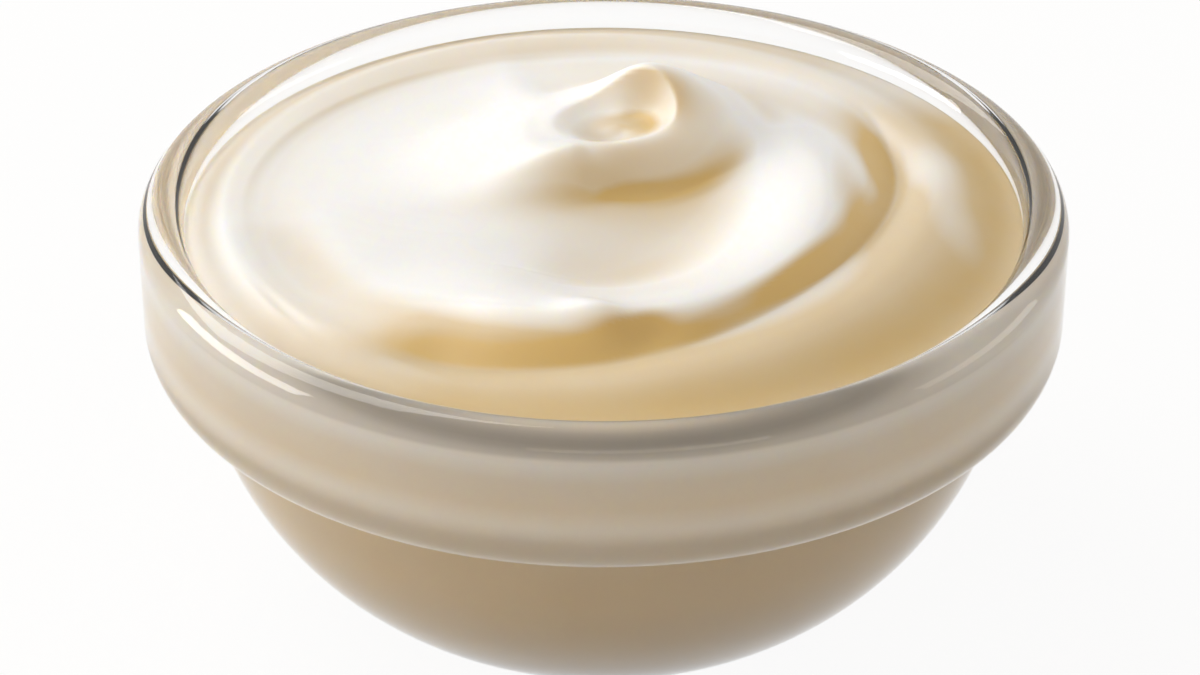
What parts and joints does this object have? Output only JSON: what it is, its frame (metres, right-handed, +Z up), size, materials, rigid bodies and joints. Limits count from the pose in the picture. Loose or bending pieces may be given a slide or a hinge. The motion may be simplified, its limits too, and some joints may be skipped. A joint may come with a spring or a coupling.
{
  "type": "glass bowl of mayonnaise",
  "caption": "Round clear glass stacking bowl with an upright collar, filled with mayonnaise that is swirled into a ridge, a fold and a soft curled peak.",
  "frame": {"origin": "on the axis of the bowl, in the plane of the foot ring that it stands on", "axes": "+Z up along the axis of the bowl; -Y is the side that the hollow of the swirl's curl faces, with the fold at its right; +X to the right"},
  "size_m": [0.075, 0.075, 0.0387],
  "materials": {
    "glass": "clear pressed glass, polished by fire",
    "mayonnaise": "smooth, moist, soft sheen"
  },
  "bodies": {
    "root": {"glass_bowl": "glass", "mayonnaise": "mayonnaise"}
  },
  "joints": []
}
